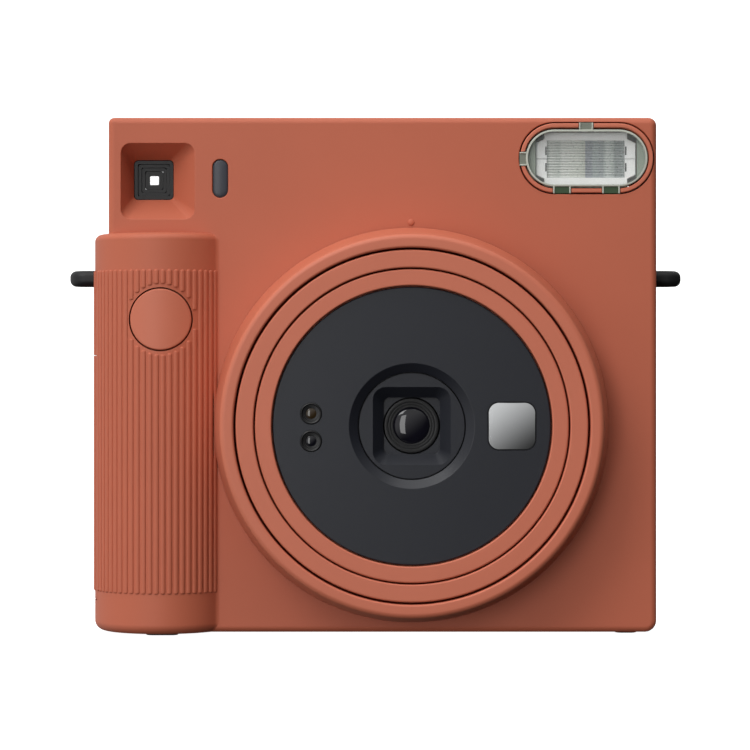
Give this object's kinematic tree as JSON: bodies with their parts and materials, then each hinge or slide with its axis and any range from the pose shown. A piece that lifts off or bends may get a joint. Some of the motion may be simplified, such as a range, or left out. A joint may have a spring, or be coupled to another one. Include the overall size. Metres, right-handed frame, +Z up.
{
  "type": "instant camera",
  "caption": "Instant film camera with a turning lens ring, collapsing lens, ribbed grip, flash, hinged film door and powered film rollers.",
  "frame": {"origin": "centre of the overall box on the surface that the feet stand on", "axes": "+Z up, the lens looks along -Y, the grip is on the -X side"},
  "size_m": [0.143, 0.0576, 0.119],
  "materials": {
    "cover_plastic": "terracotta moulded plastic, fine matt grain",
    "ring_plastic": "terracotta moulded plastic, satin",
    "charcoal_plastic": "charcoal plastic, fine matt grain",
    "black_plastic": "black moulded plastic",
    "grey_plastic": "grey moulded plastic",
    "black_rubber": "soft black rubber",
    "clear_plastic": "clear polished plastic",
    "smoked_window": "smoked polished plastic",
    "lens_glass": "coated optical plastic",
    "reflector_metal": "bright plated reflector",
    "mirror": "convex mirror",
    "steel": "plain steel",
    "board": "green circuit board",
    "battery_wrap": "printed battery sleeve without lettering"
  },
  "bodies": {
    "root": {"front_cover": "cover_plastic", "rear_cover": "cover_plastic", "casing_screw_1": "steel", "casing_screw_2": "steel", "foot_left": "black_rubber", "foot_right": "black_rubber", "strap_lug_left": "black_plastic", "strap_lug_right": "black_plastic", "barrel_guide": "grey_plastic", "button_spring": "steel", "shutter_switch": "black_plastic", "sensor_window": "smoked_window", "viewfinder_tube": "black_plastic", "viewfinder_front_lens": "lens_glass", "viewfinder_rear_lens": "lens_glass", "eyepiece_rim": "black_rubber", "flash_trim": "ring_plastic", "flash_window": "clear_plastic", "flash_reflector": "reflector_metal", "flash_tube": "clear_plastic", "flash_capacitor": "black_plastic", "main_board": "board", "battery_holder": "grey_plastic", "battery_lower": "battery_wrap", "battery_upper": "battery_wrap", "battery_contact": "steel", "battery_door_pin": "steel", "film_chamber": "black_plastic", "film_pack": "black_plastic", "dark_box": "black_plastic", "door_hinge_pin": "steel", "counter_window": "clear_plastic", "roller_frame": "steel", "drive_motor": "steel"},
    "ring": {"lens_ring": "ring_plastic"},
    "middle": {"middle_barrel": "ring_plastic"},
    "lens": {"inner_barrel": "ring_plastic", "lens_faceplate": "charcoal_plastic", "selfie_mirror": "mirror", "light_sensor_upper": "lens_glass", "light_sensor_lower": "lens_glass", "lens_hood": "charcoal_plastic", "front_lens": "lens_glass", "shutter_plate": "black_plastic", "lens_cell": "black_plastic", "rear_lens": "lens_glass"},
    "blade_left": {"shutter_blade_left": "steel"},
    "blade_right": {"shutter_blade_right": "steel"},
    "button": {"shutter_button": "ring_plastic"},
    "battery_cover": {"battery_door": "cover_plastic"},
    "door": {"film_door": "cover_plastic", "film_window": "smoked_window"},
    "latch": {"door_latch": "black_plastic"},
    "counter": {"counter_disc": "grey_plastic"},
    "roller_rear": {"rear_roller": "steel"},
    "roller_front": {"front_roller": "steel"},
    "idler": {"idler_gear": "grey_plastic"},
    "pinion": {"motor_pinion": "steel"},
    "claw": {"film_claw": "steel"},
    "flap": {"exit_flap": "black_plastic"}
  },
  "joints": [
    {"name": "lens_ring_turn", "type": "hinge", "parent": "root", "child": "ring", "pos_m": [0.0082, -0.01475, 0.0482], "axis": [0, -1, 0], "range_deg": [0, 60]},
    {"name": "middle_barrel_slide", "type": "slide", "parent": "root", "child": "middle", "axis": [0, -1, 0], "range_m": [0, 0.0092]},
    {"name": "lens_barrel_slide", "type": "slide", "parent": "middle", "child": "lens", "axis": [0, -1, 0], "range_m": [0, 0.0092]},
    {"name": "left_blade_swing", "type": "hinge", "parent": "lens", "child": "blade_left", "pos_m": [-0.0048, -0.01475, 0.0542], "axis": [0, -1, 0], "range_deg": [0, 40]},
    {"name": "right_blade_swing", "type": "hinge", "parent": "lens", "child": "blade_right", "pos_m": [0.0212, -0.01475, 0.0542], "axis": [0, -1, 0], "range_deg": [-40, 0]},
    {"name": "shutter_button_press", "type": "slide", "parent": "root", "child": "button", "axis": [0, 1, 0], "range_m": [0, 0.0012], "stiffness_N_per_m": 1500, "springref_m": -0.0005, "deforming": ["button_spring"]},
    {"name": "battery_door_open", "type": "hinge", "parent": "root", "child": "battery_cover", "pos_m": [-0.0644, 0.00835, 0.036], "axis": [0, 0, -1], "range_deg": [0, 95]},
    {"name": "film_door_open", "type": "hinge", "parent": "root", "child": "door", "pos_m": [0.0613, 0.02515, 0.055], "axis": [0, 0, -1], "range_deg": [0, 100]},
    {"name": "door_latch_slide", "type": "slide", "parent": "door", "child": "latch", "axis": [-1, 0, 0], "range_m": [0, 0.0024]},
    {"name": "counter_turn", "type": "hinge", "parent": "root", "child": "counter", "pos_m": [-0.047, 0.02175, 0.04], "axis": [0, 1, 0], "range_deg": [0, 330]},
    {"name": "rear_roller_spin", "type": "hinge", "parent": "root", "child": "roller_rear", "pos_m": [0, 0.00895, 0.1086], "axis": [1, 0, 0], "continuous": true},
    {"name": "front_roller_spin", "type": "hinge", "parent": "root", "child": "roller_front", "pos_m": [0, 0.00055, 0.1086], "axis": [1, 0, 0], "continuous": true},
    {"name": "idler_gear_spin", "type": "hinge", "parent": "root", "child": "idler", "pos_m": [-0.037, 0.00895, 0.0972], "axis": [1, 0, 0], "continuous": true},
    {"name": "motor_pinion_spin", "type": "hinge", "parent": "root", "child": "pinion", "pos_m": [-0.037, 0.00895, 0.087], "axis": [1, 0, 0], "continuous": true},
    {"name": "film_claw_slide", "type": "slide", "parent": "root", "child": "claw", "axis": [0, 0, 1], "range_m": [0, 0.007]},
    {"name": "exit_flap_open", "type": "hinge", "parent": "root", "child": "flap", "pos_m": [0, 0.00295, 0.1181], "axis": [1, 0, 0], "range_deg": [0, 70], "stiffness_Nm_per_rad": 0.002, "springref_deg": -5.73}
  ],
  "couplings": [
    {"joint": "middle_barrel_slide", "follows": "lens_ring_turn", "m_per_rad": 0.0086},
    {"joint": "lens_barrel_slide", "follows": "lens_ring_turn", "m_per_rad": 0.0086},
    {"joint": "right_blade_swing", "follows": "left_blade_swing", "ratio": -1},
    {"joint": "front_roller_spin", "follows": "rear_roller_spin", "ratio": -1},
    {"joint": "idler_gear_spin", "follows": "rear_roller_spin", "ratio": -0.58333},
    {"joint": "motor_pinion_spin", "follows": "rear_roller_spin", "ratio": 1.4}
  ]
}
